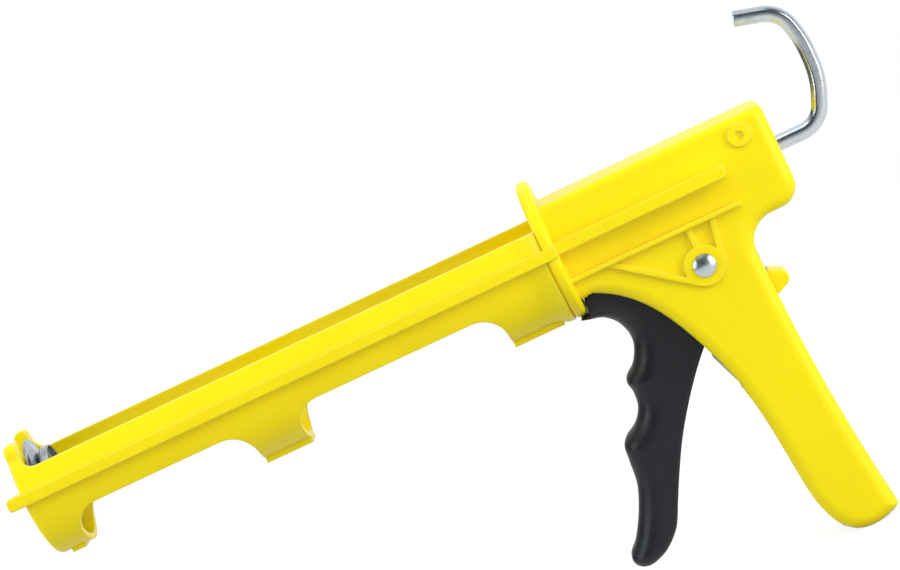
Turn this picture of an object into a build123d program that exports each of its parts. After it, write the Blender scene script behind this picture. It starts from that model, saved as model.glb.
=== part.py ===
from build123d import *
import math
import os

# Caulking gun for one standard cartridge, in millimetres.
# X runs rearwards along the push rod, Z is up and Y is across the gun.
# The origin is on the rod's axis, at the inner face of the front plate.

# ---- Cartridge cradle -------------------------------------------------------
cradle_length = 222.8        # free length between front plate and flange
cradle_inner_radius = 25.1   # takes a cartridge of 50 mm diameter
cradle_wall = 2.4
wall_top = 11.9              # height of the two side walls
window_top = -10.8           # upper edge of the openings under the cradle
window_corner = 11.0
front_foot_end = 9.7
middle_foot_start = 86.7
middle_foot_length = 20.2
rear_foot_length = 26.4      # from the flange forwards
pad_depth = 1.4              # raised pads under the middle and rear feet
pad_width = 13.0
rear_pad_length = 21.5
front_pad_depth = 0.9
front_pad_length = 6.0

# ---- Front plate ------------------------------------------------------------
front_plate_thickness = 5.1
nozzle_slot_radius = 12.0
horn_top = 22.8
horn_outer = 21.7            # outer side of each horn
horn_round = 4.0
horn_back_round = 1.5
horn_fillet = 5.0            # hollow curve from each horn down to the wall
front_edge_round = 2.0

# ---- Flange between cradle and receiver -------------------------------------
flange_thickness = 5.4
flange_radius = 29.3
flange_half_width = 31.0
flange_flare_length = 12.0
flange_edge_round = 2.0

# ---- Long rib on both sides -------------------------------------------------
rib_half_width = 31.5
rib_root = 24.0
rib_bottom = -0.5
rib_thickness = 4.9
rib_overhang = 5.5           # reach of the rib in front of the front plate
rib_end_round = 1.5

# ---- Receiver and handle ----------------------------------------------------
receiver_length = 96.2       # from the flange to the rear face
receiver_top = 18.9
body_half_width = 16.5
body_wall = 3.0
body_round = 5.5             # edges of the receiver and the handle
top_round = 3.0              # edges of the receiver's top
bulkhead_thickness = 3.0
tail_bottom = -22.3
tail_round = 9.0
waist_round = 12.0           # hollow curve from the tail to the handle
tail_length = 25.4           # overhang of the receiver behind the handle
handle_length = 100.4        # from the thumb pad down to the end
handle_width = 31.2
handle_rake = 8.9            # the lower end lies this far behind the top
handle_top = -54.0
handle_end_round = 4.8       # height of the rounded end
handle_back_radius = 800.0   # slight hollow of the handle's rear edge
handle_bend_drop = 46.0      # middle of that hollow, below the handle's top
handle_bend_lead = 1.9       # how far back it lies there
palm_reach = 4.6             # swell of the front edge below the mouth
handle_mouth = -80.5         # top of the handle's closed front wall
straight_front = 25.6        # from the heel up to where the front wall starts to curve

shelf_half_width = 24.0
shelf_setback = 23.5         # from the rear face
low_rib_z = -12.5
low_rib_thickness = 2.0
low_rib_half_width = 20.0
truss_width = 2.4
truss_front_reach = 34.7     # from the pivot forwards to the long truss rib's upper end
truss_rear_reach = 10.7      # from the pivot back to the rear truss rib's upper end
boss_radius = 8.4
boss_height = 1.6            # the truss ribs are as high as the boss

# ---- Trigger pivot ----------------------------------------------------------
pivot_setback = 49.9         # behind the flange
pivot_drop = 29.5            # below the rod
rivet_radius = 3.0
rivet_head_radius = 4.9
rivet_head_height = 2.4
rivet_tail_radius = 4.2
rivet_tail_height = 1.8
rivet_washer_radius = 6.5
rivet_washer_thickness = 1.0
shaft_clearance = 0.05

# ---- Trigger ----------------------------------------------------------------
trigger_half_width = 11.0
trigger_round = 2.2
trigger_hub_radius = 8.5
arm_outer = 9.5
arm_inner = 4.6
arm_end_radius = 4.0
arm_setback = 1.5            # arm end behind the thrust pin's centre
thrust_pin_radius = 3.0
thrust_pin_rod_gap = 0.5
trigger_nose_gap = 0.9       # from the flange to the trigger's nose
nose_lip_reach = 4.6         # lip of the nose, forwards under the flange
nose_lip_gap = 0.5
hub_slot_clearance = 2.0     # around the hub, for the return spring's coil
spring_slot_front = (-26.0, -31.0)   # bend of the spring slot's front wall, from the pivot
spring_slot_end = (-30.0, -48.6)     # lower end of that wall
spring_slot_rear = 21.5

# ---- Push rod and plunger ---------------------------------------------------
rod_across_flats = 6.0
guide_clearance = 0.10
plate_clearance = 0.35
spigot_radius = 2.45
spigot_end = 0.6             # the spigot's tip stands this far in front of the plunger's rim
hook_setback = 18.8          # from the rear face to the hook's upright
hook_height = 52.2
hook_reach = 14.0            # from the upright back to the tip
hook_bow = 7.1               # bulge of the upright
hook_bend_radius = 11.6
hook_tip_radius = 12.0
hook_bow_radius = 40.0
plunger_radius = 20.3
plunger_gap = 0.5            # front plate to plunger rim with the rod forward
plunger_dish = 2.7
plunger_sheet = 1.2
plunger_flat_radius = 12.0
cup_radius = 14.9
cup_depth = 4.2
cup_sheet = 1.0
nut_across_flats = 8.0
nut_thickness = 2.4
lock_washer_thickness = 0.8
lock_washer_radius = 4.2

# ---- Drive plates and springs -----------------------------------------------
drive_plate_lead = 11.6      # rear face of the rear plate, in front of the pivot
drive_plate_thickness = 2.4
drive_plate_half_width = 8.0
drive_plate_round = 2.0
drive_plate_top = 12.0
drive_plate_bottom = -16.0
drive_pin_gap = 0.5
spring_washer_thickness = 0.8
spring_washer_radius = 8.2
spring_radius = 6.4
spring_wire = 1.2
spring_gap = 0.15            # free space at each end of a coil spring
drive_spring_turns = 8
lock_spring_turns = 5
lock_room = 19.9             # from the inner wall to the fulcrum pin
mid_wall_bottom = -18.0
torsion_wire = 1.4
torsion_pitch = 1.5
torsion_coil_radius = 4.9
torsion_whole_turns = 3
torsion_leg_gap = 0.15       # from each leg to the face that it bears on
handle_leg_knee = (-10.7, -36.6)     # bend of the leg on the handle, from the pivot
handle_leg_lap = 2.0         # length of that leg in front of the handle's front wall
trigger_leg_length = 20.1
trigger_leg_angle = -60.0    # where the other leg leaves the coil

# ---- Release lever ----------------------------------------------------------
fulcrum_inset = 12.7         # from the rear face
fulcrum_z = 11.4
fulcrum_radius = 1.5
fulcrum_seat = 1.8           # depth of the pin's seat in the near wall
fulcrum_end_gap = 0.1
ring_boss_radius = 4.7
ring_boss_height = 1.0
ring_recess_across_flats = 3.2
ring_recess_depth = 0.8
lever_sheet = 2.5
lever_half_width = 7.0
lever_eye_radius = 3.4
lever_lean = 2.0             # the lever's upper leg leans back by this much
lever_upper_leg = 20.4
lever_side_gap = 0.8
thumb_half_width = 7.6
thumb_reach = 7.6            # the pad stands this far behind the handle
thumb_z = -48.6
thumb_half_height = 5.1
thumb_nose_radius = 3.2
thumb_round = 0.8
thumb_slot_depth = 9.0       # from the handle's rear face forwards
thumb_slot_margin = 4.3      # free height under the pad

# ---- Sizes worked out from those above --------------------------------------
cradle_outer_radius = cradle_inner_radius + cradle_wall
flange_x = cradle_length
flange_rear = flange_x + flange_thickness
receiver_rear = flange_rear + receiver_length
web_x = receiver_rear - tail_length
heel_x = web_x + handle_rake
grip_front = heel_x - handle_width
handle_bottom = handle_top - handle_length
heel_z = handle_bottom + handle_end_round
pivot_x = flange_rear + pivot_setback
pivot_z = -pivot_drop
nose_x = flange_rear + trigger_nose_gap
drive_plate_rear = pivot_x - drive_plate_lead
fulcrum_x = receiver_rear - fulcrum_inset
mid_wall_x = fulcrum_x - lock_room - body_wall
shelf_end = receiver_rear - shelf_setback
cavity_front = flange_rear + bulkhead_thickness
cavity_half_width = body_half_width - body_wall
rod_corner_radius = rod_across_flats / math.sqrt(3)
rib_top = rib_bottom + rib_thickness
front_x = -front_plate_thickness
rear_foot_start = flange_x - rear_foot_length
middle_foot_end = middle_foot_start + middle_foot_length
foot_bottom = -(cradle_outer_radius + pad_depth)
boss_face = body_half_width + boss_height
thrust_pin_x = drive_plate_rear + drive_pin_gap + thrust_pin_radius
thrust_pin_z = -(rod_corner_radius + thrust_pin_rod_gap + thrust_pin_radius)
rod_start = plunger_gap + plunger_dish + plunger_sheet + cup_sheet
rivet_bore = rivet_radius + shaft_clearance
plate_bore = rod_corner_radius + plate_clearance
lever_face = (fulcrum_x + lever_lean * (fulcrum_z - spring_radius - spring_wire / 2) / lever_upper_leg
              - lever_sheet / 2)
beyond = 2 * flange_half_width   # reach of cutting tools past the body


def side_profile(outline):
    """Face in the XZ plane from a closed outline of edges."""
    return make_face(Plane.XZ * outline)


def across(face, half_width):
    """Solid made by pushing an XZ face out to both sides of the gun."""
    return extrude(face, amount=half_width, both=True)


def slab(face, low, high):
    """Solid made from an XZ face between two distances from the middle, on the near side."""
    return Pos(0, -low, 0) * extrude(face, amount=high - low, dir=(0, -1, 0))


def both_sides(shape):
    return shape + mirror(shape, about=Plane.XZ)


def box_between(x, y, z):
    """Box from pairs of lowest and highest X, Y and Z."""
    size = [high - low for low, high in (x, y, z)]
    centre = [(high + low) / 2 for low, high in (x, y, z)]
    return Pos(*centre) * Box(*size)


def along_x(radius, start, end, y=0.0, z=0.0):
    """Cylinder along X."""
    return Pos((start + end) / 2, y, z) * Rot(0, 90, 0) * Cylinder(radius, end - start)


def along_y(radius, start, end, x, z):
    """Cylinder along Y."""
    return Pos(x, (start + end) / 2, z) * Rot(90, 0, 0) * Cylinder(radius, end - start)


def hex_along_x(across_flats, start, end):
    """Hexagonal bar along X with two flats facing the sides."""
    section = Plane(origin=(start, 0, 0), x_dir=(0, 0, 1), z_dir=(1, 0, 0))
    hexagon = RegularPolygon(across_flats / math.sqrt(3), 6)
    return extrude(section * hexagon, amount=end - start)


def line(*points):
    return Polyline(*points)


def window_outline(start, end):
    """Opening under the cradle with two rounded upper corners."""
    low = -beyond
    r = window_corner
    return (
        line((start, window_top - r), (start, low), (end, low), (end, window_top - r))
        + RadiusArc((end, window_top - r), (end - r, window_top), -r)
        + line((end - r, window_top), (start + r, window_top))
        + RadiusArc((start + r, window_top), (start, window_top - r), -r)
    )


def open_top_outline():
    """Space above the cradle's walls, with a round lower corner behind the front plate."""
    start, corner = (0, wall_top + horn_fillet), (horn_fillet, wall_top)
    end = flange_rear + 1
    return (RadiusArc(start, corner, -horn_fillet)
            + line(corner, (end, wall_top), (end, beyond), (0, beyond), start))


def flare(x_plate, x_end, radius):
    """Outward flare of the cradle wall into a plate, as a ring about the rod's axis."""
    reach = abs(x_end - x_plate)
    toward = 1 if x_end > x_plate else -1
    middle = (x_plate + toward * reach * 0.38, cradle_outer_radius + (radius - cradle_outer_radius) * 0.3)
    edge = ThreePointArc((x_plate, radius), middle, (x_end, cradle_outer_radius))
    sides = line((x_end, cradle_outer_radius), (x_end, cradle_inner_radius),
                 (x_plate, cradle_inner_radius), (x_plate, radius))
    return revolve(side_profile(edge + sides), Axis.X)


def flange_solid():
    section = Plane(origin=(flange_x, 0, 0), x_dir=(0, 1, 0), z_dir=(1, 0, 0))
    plate = extrude(section * Ellipse(flange_half_width, flange_radius), amount=flange_thickness)
    return fillet(plate.edges(), flange_edge_round)


def front_plate_solid():
    """Round front plate with two horns, before the nozzle slot is cut."""
    plate = along_x(cradle_outer_radius, front_x, 0)
    plate -= box_between((front_x - 1, 1), (-beyond, beyond), (wall_top + horn_fillet, beyond))
    horns = box_between((front_x, 0), (-horn_outer, horn_outer), (0, horn_top))
    horns = fillet(horns.edges().filter_by(Axis.X).group_by(Axis.Z)[-1], horn_round)
    plate += horns
    plate = fillet(plate.faces().sort_by(Axis.X)[0].edges(), front_edge_round)
    back_edges = plate.faces().sort_by(Axis.X)[-1].edges()
    return fillet([e for e in back_edges if e.center().Z > wall_top + horn_fillet], horn_back_round)


def nozzle_slot():
    slot = along_x(nozzle_slot_radius, front_x - 1, 1)
    slot += box_between((front_x - 1, 1), (-nozzle_slot_radius, nozzle_slot_radius), (0, beyond))
    return slot


def cradle_solid():
    """Half-round trough, its feet, the front plate and the flange, joined."""
    trough = along_x(cradle_outer_radius, 0, flange_rear)
    trough -= across(side_profile(open_top_outline()), beyond)
    for start, end in ((front_foot_end, middle_foot_start), (middle_foot_end, rear_foot_start)):
        trough -= across(side_profile(window_outline(start, end)), beyond)
    rear_flare = flare(flange_x, flange_x - flange_flare_length, flange_half_width)
    section = Plane(origin=(0, 0, 0), x_dir=(0, 1, 0), z_dir=(1, 0, 0))
    rear_flare &= extrude(section * Ellipse(flange_half_width, flange_radius), amount=flange_rear)
    rear_flare -= box_between((0, flange_rear), (-beyond, beyond), (wall_top, beyond))
    solid = trough + rear_flare + front_plate_solid() + flange_solid()
    for start, length in ((middle_foot_start, middle_foot_length), (rear_foot_start, rear_pad_length)):
        pad = box_between((start, start + length), (-pad_width / 2, pad_width / 2),
                          (foot_bottom, -cradle_inner_radius))
        solid += pad
    return solid + box_between((0, front_pad_length), (-pad_width / 2, pad_width / 2),
                               (-cradle_outer_radius - front_pad_depth, -cradle_inner_radius))


def long_ribs():
    """Rib along both sides of the cradle, with a rounded prong in front."""
    face = box_between((front_x - rib_overhang, flange_rear), (rib_root, rib_half_width),
                       (rib_bottom, rib_top))
    face = fillet(face.edges().filter_by(Axis.Y).group_by(Axis.X)[0], rib_end_round)
    return both_sides(face)


def body_outline():
    """Side view of the receiver and the handle as one closed outline."""
    top_corner, heel = (receiver_rear, receiver_top), (heel_x, heel_z)
    sole = (heel_x - 20.0, handle_bottom + 2.6)
    toe = (grip_front, heel_z + straight_front)
    guard_low = (pivot_x - 16.7, pivot_z - 24.6)
    palm = (grip_front - palm_reach, (toe[1] + guard_low[1]) / 2 + 3.0)
    bend = (web_x + handle_bend_lead, handle_top - handle_bend_drop)
    notch = (flange_rear + 5.2, pivot_z + 7.6)
    back = FilletPolyline(
        top_corner, (receiver_rear, tail_bottom), (web_x - 0.4, tail_bottom), bend, heel,
        radius=[tail_round, waist_round, handle_back_radius])
    front = Spline(
        heel, (heel_x - 9.0, handle_bottom + 1.2), sole, (grip_front + 4.2, handle_bottom + 11.4), toe,
        palm, guard_low, (pivot_x - 28.9, pivot_z - 4.1), notch)
    return back + front + line(notch, (flange_rear, notch[1]), (flange_rear, receiver_top), top_corner)


def cavity_outline():
    """Side view of the hollow inside the body, open at the trigger and at the handle's end."""
    w = body_wall
    rear, roof, floor = receiver_rear - w, receiver_top - w, tail_bottom + w
    below = -beyond - handle_length
    return line(
        (cavity_front, roof), (rear, roof), (rear, floor), (web_x + 5.5, floor),
        (web_x - w, floor - 9.0), (web_x + handle_bend_lead - w, handle_top - handle_bend_drop),
        (heel_x - w, heel_z), (heel_x - w, below),
        (grip_front + 10.2, below), (grip_front + 7.4, handle_bottom + 11.4),
        (grip_front + w, heel_z + straight_front), (grip_front + 1.0, heel_z + 49.6),
        (grip_front - 1.8, handle_mouth), (grip_front - 26.0, handle_mouth),
        (cavity_front, pivot_z - 10.0), (cavity_front, roof))


def body_solid():
    """Hollow receiver and handle, with its inner walls."""
    outer = across(side_profile(body_outline()), body_half_width)
    rim = [e for e in outer.edges() if abs(abs(e.center().Y) - body_half_width) < 0.01
           and e.center().X > flange_rear + 1 and e.center().Z < receiver_top - 0.1]
    outer = fillet(rim, body_round)
    top_rim = [e for e in outer.faces().sort_by(Axis.Z)[-1].edges() if e.center().X > flange_rear + 1]
    outer = fillet(top_rim, top_round)
    outer -= across(side_profile(cavity_outline()), cavity_half_width)
    half = cavity_half_width + body_wall / 3
    outer += box_between((mid_wall_x, mid_wall_x + body_wall), (-half, half),
                         (mid_wall_bottom, receiver_top - body_wall / 2))
    side = thumb_half_width + lever_side_gap
    return outer - box_between((web_x - thumb_slot_depth, web_x + thumb_slot_depth), (-side, side),
                               (thumb_z - thumb_half_height - thumb_slot_margin, tail_bottom + body_wall))


def tangent_point(start, centre, radius, side):
    """Where a straight line from start touches a circle; side is 1 or -1."""
    dx, dz = centre[0] - start[0], centre[1] - start[1]
    distance = math.hypot(dx, dz)
    angle = math.atan2(dz, dx) + side * math.asin(radius / distance)
    run = math.sqrt(distance**2 - radius**2)
    return (start[0] + run * math.cos(angle), start[1] + run * math.sin(angle))


def strip(start, end, width):
    """Straight strip between two points of the XZ plane."""
    dx, dz = end[0] - start[0], end[1] - start[1]
    length = math.hypot(dx, dz)
    nx, nz = -dz / length * width / 2, dx / length * width / 2
    corners = [(start[0] + nx, start[1] + nz), (end[0] + nx, end[1] + nz),
               (end[0] - nx, end[1] - nz), (start[0] - nx, start[1] - nz)]
    return side_profile(line(*corners, corners[0]))


def body_ribs():
    """Shelf, lower rib, truss ribs and round bosses on the receiver's sides."""
    root = body_half_width - body_wall / 3
    shelf = side_profile(line((flange_rear, rib_bottom), (shelf_end, rib_bottom), (shelf_end, rib_top),
                              (flange_rear, rib_top), (flange_rear, rib_bottom)))
    ribs = slab(shelf, root, shelf_half_width)
    ribs = fillet(ribs.edges().filter_by(Axis.Y).group_by(Axis.X)[-1], rib_end_round)
    low = strip((flange_rear, low_rib_z), (shelf_end, low_rib_z), low_rib_thickness)
    ribs += slab(low, root, low_rib_half_width)
    pivot = (pivot_x, pivot_z)
    front, rear = (pivot_x - truss_front_reach, low_rib_z), (pivot_x + truss_rear_reach, low_rib_z)
    for end, side in ((front, -1), (rear, 1)):
        touch = tangent_point(end, pivot, boss_radius - truss_width / 2, side)
        ribs += slab(strip(end, touch, truss_width), root, boss_face)
    short = strip((pivot_x, low_rib_z), (pivot_x, pivot_z + boss_radius / 2), truss_width)
    ribs += slab(short, root, boss_face)
    ribs += along_y(boss_radius, -boss_face, -root, pivot_x, pivot_z)
    ribs += along_y(ring_boss_radius, -body_half_width - ring_boss_height, -root, fulcrum_x, fulcrum_z)
    return both_sides(ribs)


def frame_moulding():
    """The gun's one-piece moulded body."""
    solid = cradle_solid() + long_ribs() + body_solid() + body_ribs()
    solid -= along_x(cradle_inner_radius, 0, flange_x)
    solid -= nozzle_slot()
    solid -= hex_along_x(rod_across_flats + 2 * guide_clearance, flange_x - 1, receiver_rear + 1)
    solid -= along_y(rivet_bore, -boss_face - 1, boss_face + 1, pivot_x, pivot_z)
    near_seat = -(cavity_half_width + fulcrum_seat)
    solid -= along_y(fulcrum_radius + shaft_clearance, near_seat, beyond, fulcrum_x, fulcrum_z)
    hexagon = RegularPolygon(ring_recess_across_flats / math.sqrt(3), 6)
    floor = -(body_half_width + ring_boss_height - ring_recess_depth)
    recess = Plane(origin=(fulcrum_x, floor, fulcrum_z), z_dir=(0, -1, 0)) * hexagon
    return solid - extrude(recess, amount=2 * ring_recess_depth)


def dome(radius, height, y_face, toward):
    """Rounded rivet end on a face across the gun; toward is -1 for the near side, 1 for the far."""
    ball = (radius**2 + height**2) / (2 * height)
    centre = y_face + toward * (height - ball)
    low, high = sorted((y_face, y_face + toward * height))
    block = box_between((pivot_x - radius, pivot_x + radius), (low, high),
                        (pivot_z - radius, pivot_z + radius))
    return Pos(pivot_x, centre, pivot_z) * Sphere(ball) & block


def pivot_rivet():
    """Rivet that carries the trigger: domed head, shank and formed tail."""
    near = -boss_face
    far = boss_face + rivet_washer_thickness
    shank = along_y(rivet_radius, near, far, pivot_x, pivot_z)
    head = dome(rivet_head_radius, rivet_head_height, near, -1)
    return shank + head + dome(rivet_tail_radius, rivet_tail_height, far, 1)


def rivet_washer():
    washer = along_y(rivet_washer_radius, boss_face, boss_face + rivet_washer_thickness, pivot_x, pivot_z)
    return washer - along_y(rivet_bore, 0, beyond, pivot_x, pivot_z)


def trigger_outline():
    """Side view of the trigger: finger grooves in front, smooth back, measured from the pivot."""
    def at(dx, dz):
        return (pivot_x + dx, pivot_z + dz)

    lip_z = -(flange_radius + nose_lip_gap)
    nose_top = (nose_x, pivot_z + 6.2)
    lip = (nose_x - nose_lip_reach, lip_z)
    tip = at(-70.9, -102.3)
    fingers = Spline(
        lip, (lip[0] + 1.5, lip_z - 2.2), at(-45.0, -6.0), at(-38.9, -16.0), at(-43.6, -27.4),
        at(-46.9, -31.2), at(-47.8, -35.5), at(-49.2, -44.8), at(-56.0, -52.4), at(-59.7, -55.9),
        at(-60.6, -59.9), at(-64.1, -76.8), at(-72.9, -92.8), at(-75.5, -99.0), tip)
    back = Spline(tip, at(-60.0, -97.6), at(-51.7, -86.5), at(-40.5, -65.1), at(-28.5, -47.3),
                  at(-14.5, -31.5))
    return line(nose_top, (nose_x, lip_z), lip) + fingers + back + line(
        at(-14.5, -31.5), at(trigger_hub_radius - 0.6, -3.0), at(0, 0), at(-16.5, 9.8),
        (nose_x + 6.3, pivot_z + 10.2), nose_top)


def trigger():
    """Moulded trigger with its hub, two arms and the slot for the return spring."""
    solid = across(side_profile(trigger_outline()), trigger_half_width)
    rim = [e for e in solid.edges() if abs(abs(e.center().Y) - trigger_half_width) < 0.01]
    solid = fillet(ShapeList(rim).sort_by(SortBy.LENGTH)[-4:], trigger_round)
    solid += along_y(trigger_hub_radius, -trigger_half_width, trigger_half_width, pivot_x, pivot_z)
    hub = Pos(pivot_x, pivot_z) * Circle(trigger_hub_radius)
    end = Pos(thrust_pin_x + arm_setback, thrust_pin_z) * Circle(arm_end_radius)
    arm = slab(Plane.XZ * make_hull(hub.edges() + end.edges()), arm_inner, arm_outer)
    solid += both_sides(arm)
    solid -= along_y(trigger_hub_radius + hub_slot_clearance, -arm_inner, arm_inner, pivot_x, pivot_z)
    corners = [(-6.5, 1.4), spring_slot_front, spring_slot_end,
               (spring_slot_rear, spring_slot_end[1]), (spring_slot_rear, 1.4), (-6.5, 1.4)]
    slot = side_profile(line(*[(pivot_x + dx, pivot_z + dz) for dx, dz in corners]))
    solid -= across(slot, arm_inner)
    solid -= along_y(rivet_bore, -beyond, beyond, pivot_x, pivot_z)
    return solid - along_y(thrust_pin_radius + shaft_clearance, -beyond, beyond, thrust_pin_x, thrust_pin_z)


def thrust_pin():
    return along_y(thrust_pin_radius, -arm_outer, arm_outer, thrust_pin_x, thrust_pin_z)


def wire(start, end, radius):
    """Straight round wire between two points."""
    run = end - start
    return extrude(Plane(start, z_dir=run) * Circle(radius), amount=run.length)


def trigger_spring():
    """Torsion spring round the rivet: a bent leg on the handle and a straight leg on the trigger."""
    r = torsion_wire / 2
    knee_x, knee_z = handle_leg_knee
    lead = math.acos(torsion_coil_radius / math.hypot(knee_x, knee_z))
    start_angle = math.atan2(knee_z, knee_x) - lead
    sweep_angle = (start_angle - math.radians(trigger_leg_angle)) % (2 * math.pi)
    turns = torsion_whole_turns + sweep_angle / (2 * math.pi)
    width = turns * torsion_pitch
    base = Plane(origin=(pivot_x, -width / 2, pivot_z), z_dir=(0, 1, 0),
                 x_dir=(math.cos(start_angle), 0, math.sin(start_angle)))
    coil = base * Helix(torsion_pitch, width, torsion_coil_radius)
    spring = sweep(Plane(coil @ 0, z_dir=coil % 0) * Circle(r), path=coil, is_frenet=True)
    near, far = coil @ 0, coil @ 1
    knee = Vector(pivot_x + knee_x, near.Y, pivot_z + knee_z)
    tip = Vector(grip_front - palm_reach - 1.0 - r - torsion_leg_gap, near.Y, handle_mouth - handle_leg_lap)
    spring += wire(near, knee, r) + Pos(*knee) * Sphere(r) + wire(knee, tip, r)
    return spring + wire(far, far + (coil % 1) * trigger_leg_length, r)


def push_rod():
    """Hexagonal rod with its bent ladder hook and the turned spigot for the plunger."""
    upright = receiver_rear + hook_setback
    corners = [(rod_start, 0), (upright, 0), (upright + hook_bow, 0.34 * hook_height),
               (upright + hook_bow, 0.65 * hook_height), (upright + hook_bow / 2, 0.906 * hook_height),
               (upright - hook_reach, hook_height)]
    radii = [hook_bend_radius, hook_bow_radius, hook_bow_radius, hook_tip_radius]
    path = Plane.XZ * FilletPolyline(*corners, radius=radii)
    section = Plane(origin=(rod_start, 0, 0), x_dir=(0, 0, 1), z_dir=(1, 0, 0))
    rod = sweep(section * RegularPolygon(rod_corner_radius, 6), path=path)
    return rod + along_x(spigot_radius, plunger_gap - spigot_end, rod_start)


def plunger_disc():
    """Dished steel plunger that presses on the cartridge's piston."""
    front = plunger_gap
    back = plunger_gap + plunger_dish
    sheet = plunger_sheet
    outline = line(
        (front, plunger_radius - 3.2), (back, plunger_flat_radius), (back, spigot_radius + shaft_clearance),
        (back + sheet, spigot_radius + shaft_clearance), (back + sheet, plunger_flat_radius),
        (front + sheet, plunger_radius - 2.6), (front + sheet, plunger_radius), (front, plunger_radius),
        (front, plunger_radius - 3.2))
    return revolve(side_profile(outline), Axis.X)


def plunger_cup():
    """Stiffening cup behind the plunger, open towards the rear."""
    front = plunger_gap + plunger_dish + plunger_sheet
    bore = spigot_radius + shaft_clearance
    outline = line(
        (front, bore), (front, cup_radius), (front + cup_depth, cup_radius),
        (front + cup_depth, cup_radius - cup_sheet), (front + cup_sheet, cup_radius - cup_sheet),
        (front + cup_sheet, bore), (front, bore))
    return revolve(side_profile(outline), Axis.X)


def plunger_lock_washer():
    back = plunger_gap + plunger_dish
    washer = along_x(lock_washer_radius, back - lock_washer_thickness, back)
    return washer - along_x(spigot_radius + shaft_clearance, -beyond, beyond)


def plunger_nut():
    back = plunger_gap + plunger_dish - lock_washer_thickness
    nut = hex_along_x(nut_across_flats, back - nut_thickness, back)
    return nut - along_x(spigot_radius + shaft_clearance, -beyond, beyond)


def drive_plate(rear_face):
    """Steel plate that grips the rod when the trigger pushes it."""
    plate = box_between((rear_face - drive_plate_thickness, rear_face),
                        (-drive_plate_half_width, drive_plate_half_width),
                        (drive_plate_bottom, drive_plate_top))
    plate = fillet(plate.edges().filter_by(Axis.X), drive_plate_round)
    return plate - along_x(plate_bore, rear_face - beyond, rear_face + beyond)


def spring_washer(front_face):
    washer = along_x(spring_washer_radius, front_face, front_face + spring_washer_thickness)
    return washer - along_x(plate_bore, front_face - beyond, front_face + beyond)


def coil_spring(start, end, turns):
    """Compression spring around the rod between two faces."""
    low = start + spring_gap + spring_wire / 2
    length = end - start - 2 * spring_gap - spring_wire
    base = Plane(origin=(low, 0, 0), x_dir=(0, 0, 1), z_dir=(1, 0, 0))
    coil = base * Helix(length / turns, length, spring_radius)
    return sweep(Plane(coil @ 0, z_dir=coil % 0) * Circle(spring_wire / 2), path=coil, is_frenet=True)


def lever_centreline():
    return [(fulcrum_x, fulcrum_z), (fulcrum_x + lever_lean, fulcrum_z - lever_upper_leg),
            (web_x - 1.1, tail_bottom - 4.3), (web_x - 0.8, thumb_z - thumb_half_height / 2)]


def release_lever():
    """Bent steel lever that holds the rod and frees it when its lower end is pressed."""
    points = lever_centreline()
    solid = along_y(lever_eye_radius, -lever_half_width, lever_half_width, fulcrum_x, fulcrum_z)
    for start, end in zip(points, points[1:]):
        solid += across(strip(start, end, lever_sheet), lever_half_width)
    for x, z in points[1:-1]:
        solid += along_y(lever_sheet / 2, -lever_half_width, lever_half_width, x, z)
    solid -= along_y(fulcrum_radius + shaft_clearance, -beyond, beyond, fulcrum_x, fulcrum_z)
    return solid - along_x(plate_bore, mid_wall_x, receiver_rear)


def thumb_pad():
    """Moulded pad around the lower end of the release lever."""
    front, root = web_x - body_wall, web_x + lever_sheet / 2
    base = Pos((front + root) / 2, thumb_z) * Rectangle(root - front, 2 * thumb_half_height)
    nose = Pos(web_x + thumb_reach - thumb_nose_radius, thumb_z) * Circle(thumb_nose_radius)
    side = Plane.XZ * make_hull(base.edges() + nose.edges())
    pad = across(side, thumb_half_width)
    rim = [e for e in pad.edges() if abs(abs(e.center().Y) - thumb_half_width) < 0.01]
    return fillet(rim, thumb_round) - release_lever()


def fulcrum_pin():
    near_end = -(cavity_half_width + fulcrum_seat - fulcrum_end_gap)
    return along_y(fulcrum_radius, near_end, body_half_width, fulcrum_x, fulcrum_z)


def save(name, shape):
    export_step(shape, os.path.join("parts", name + ".step"))
    print(name, round(shape.volume), "mm3")


os.makedirs("parts", exist_ok=True)
drive_washer_face = cavity_front
lock_washer_face = mid_wall_x + body_wall
front_drive_face = drive_plate_rear - drive_plate_thickness
save("frame_moulding", frame_moulding())
save("pivot_rivet", pivot_rivet())
save("rivet_washer", rivet_washer())
save("trigger", trigger())
save("thrust_pin", thrust_pin())
save("trigger_spring", trigger_spring())
save("push_rod", push_rod())
save("plunger_disc", plunger_disc())
save("plunger_cup", plunger_cup())
save("plunger_lock_washer", plunger_lock_washer())
save("plunger_nut", plunger_nut())
save("rear_drive_plate", drive_plate(drive_plate_rear))
save("front_drive_plate", drive_plate(front_drive_face))
save("drive_spring_washer", spring_washer(drive_washer_face))
save("drive_spring", coil_spring(drive_washer_face + spring_washer_thickness,
                                 front_drive_face - drive_plate_thickness, drive_spring_turns))
save("lock_spring_washer", spring_washer(lock_washer_face))
save("lock_spring", coil_spring(lock_washer_face + spring_washer_thickness,
                                lever_face, lock_spring_turns))
save("release_lever", release_lever())
save("thumb_pad", thumb_pad())
save("fulcrum_pin", fulcrum_pin())
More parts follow.
